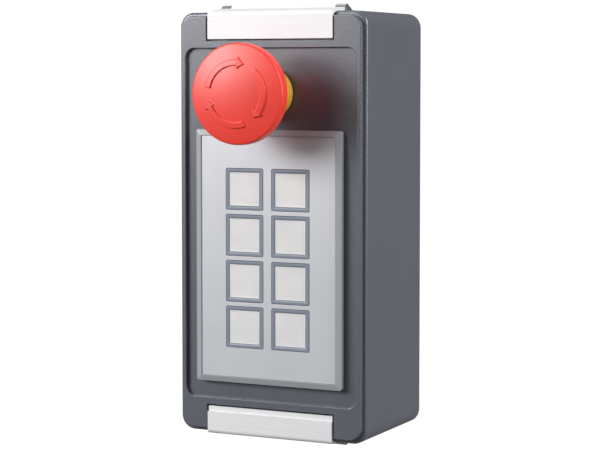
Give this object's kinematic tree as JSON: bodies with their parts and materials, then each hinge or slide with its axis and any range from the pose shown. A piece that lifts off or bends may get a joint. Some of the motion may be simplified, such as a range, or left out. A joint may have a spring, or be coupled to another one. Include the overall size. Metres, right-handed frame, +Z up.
{
  "type": "wall-mounted operator control station",
  "caption": "Upright grey cast enclosure with a red mushroom emergency-stop button over a silver key panel, and silver hinged end covers hiding the lid and wall screws.",
  "frame": {"origin": "centre of the four wall-mounting holes, in the plane of the rear mounting face", "axes": "+Z up, -Y out of the front, +X to the right as seen from the front"},
  "size_m": [0.1266, 0.1324, 0.2682],
  "materials": {
    "body_grey": "fine powder-coat texture, satin",
    "cover_silver": "light silver satin",
    "hinge_metal": "satin",
    "screw_steel": "zinc plated",
    "bezel_silver": "silver-grey satin",
    "foil_silver": "silver foil, satin",
    "seal_rubber": "matte",
    "housing_black": "fine grain",
    "board_green": "solder mask",
    "lamp_clear": "clear",
    "socket_metal": "bright tin",
    "terminal_green": "satin",
    "collar_yellow": "semi-gloss",
    "plunger_grey": "satin",
    "mushroom_red": "semi-gloss",
    "spring_steel": "bright wire",
    "contact_brass": "bright",
    "key_blue_grey": "satin",
    "key_white": "translucent white"
  },
  "bodies": {
    "enclosure": {"enclosure_base": "body_grey", "enclosure_lid": "body_grey", "lid_gasket": "seal_rubber", "lid_screws": "screw_steel", "earth_screw": "screw_steel", "top_hinge_rail": "hinge_metal", "bottom_hinge_rail": "hinge_metal", "hinge_pins": "hinge_metal", "rail_screws": "screw_steel", "panel_bezel": "bezel_silver", "panel_foil": "foil_silver", "panel_gasket": "seal_rubber", "panel_housing": "housing_black", "panel_rear_cover": "housing_black", "rear_cover_screws": "screw_steel", "key_board": "board_green", "board_screws": "screw_steel", "key_switches": "housing_black", "key_domes": "seal_rubber", "key_lamps": "lamp_clear", "main_board": "board_green", "network_sockets": "socket_metal", "terminal_blocks": "terminal_green", "panel_clamps": "housing_black", "clamp_screws": "screw_steel", "stop_seal": "seal_rubber", "stop_collar": "collar_yellow", "stop_barrel": "housing_black", "stop_holder": "housing_black", "holder_screw": "screw_steel", "contact_housing_left": "housing_black", "contact_housing_right": "housing_black", "fixed_contacts": "contact_brass", "terminal_screws": "screw_steel", "contact_springs": "spring_steel"},
    "top_cover": {"top_end_cover": "cover_silver"},
    "bottom_cover": {"bottom_end_cover": "cover_silver"},
    "stop_push": {"stop_plunger": "plunger_grey", "stop_spring": "spring_steel", "contact_sliders": "housing_black", "contact_bridges": "contact_brass"},
    "stop_turn": {"stop_head": "mushroom_red"},
    "key_1": {"key_frame_1": "key_blue_grey", "key_window_1": "key_white"},
    "key_2": {"key_frame_2": "key_blue_grey", "key_window_2": "key_white"},
    "key_3": {"key_frame_3": "key_blue_grey", "key_window_3": "key_white"},
    "key_4": {"key_frame_4": "key_blue_grey", "key_window_4": "key_white"},
    "key_5": {"key_frame_5": "key_blue_grey", "key_window_5": "key_white"},
    "key_6": {"key_frame_6": "key_blue_grey", "key_window_6": "key_white"},
    "key_7": {"key_frame_7": "key_blue_grey", "key_window_7": "key_white"},
    "key_8": {"key_frame_8": "key_blue_grey", "key_window_8": "key_white"}
  },
  "joints": [
    {"name": "top_cover_hinge", "type": "hinge", "parent": "enclosure", "child": "top_cover", "pos_m": [0, -0.0661, 0.1309], "axis": [-1, 0, 0], "range_deg": [0, 105]},
    {"name": "bottom_cover_hinge", "type": "hinge", "parent": "enclosure", "child": "bottom_cover", "pos_m": [0, -0.0661, -0.1309], "axis": [1, 0, 0], "range_deg": [0, 105]},
    {"name": "stop_push", "type": "slide", "parent": "enclosure", "child": "stop_push", "axis": [0, 1, 0], "range_m": [0, 0.004], "deforming": ["stop_spring", "contact_springs"]},
    {"name": "stop_turn", "type": "hinge", "parent": "stop_push", "child": "stop_turn", "pos_m": [0, -0.12, 0.0803], "axis": [0, 1, 0], "range_deg": [0, 45], "stiffness_Nm_per_rad": 0.08},
    {"name": "key_1_press", "type": "slide", "parent": "enclosure", "child": "key_1", "axis": [0, 1, 0], "range_m": [0, 0.0006], "stiffness_N_per_m": 300, "deforming": ["key_domes"]},
    {"name": "key_2_press", "type": "slide", "parent": "enclosure", "child": "key_2", "axis": [0, 1, 0], "range_m": [0, 0.0006], "stiffness_N_per_m": 300, "deforming": ["key_domes"]},
    {"name": "key_3_press", "type": "slide", "parent": "enclosure", "child": "key_3", "axis": [0, 1, 0], "range_m": [0, 0.0006], "stiffness_N_per_m": 300, "deforming": ["key_domes"]},
    {"name": "key_4_press", "type": "slide", "parent": "enclosure", "child": "key_4", "axis": [0, 1, 0], "range_m": [0, 0.0006], "stiffness_N_per_m": 300, "deforming": ["key_domes"]},
    {"name": "key_5_press", "type": "slide", "parent": "enclosure", "child": "key_5", "axis": [0, 1, 0], "range_m": [0, 0.0006], "stiffness_N_per_m": 300, "deforming": ["key_domes"]},
    {"name": "key_6_press", "type": "slide", "parent": "enclosure", "child": "key_6", "axis": [0, 1, 0], "range_m": [0, 0.0006], "stiffness_N_per_m": 300, "deforming": ["key_domes"]},
    {"name": "key_7_press", "type": "slide", "parent": "enclosure", "child": "key_7", "axis": [0, 1, 0], "range_m": [0, 0.0006], "stiffness_N_per_m": 300, "deforming": ["key_domes"]},
    {"name": "key_8_press", "type": "slide", "parent": "enclosure", "child": "key_8", "axis": [0, 1, 0], "range_m": [0, 0.0006], "stiffness_N_per_m": 300, "deforming": ["key_domes"]}
  ]
}
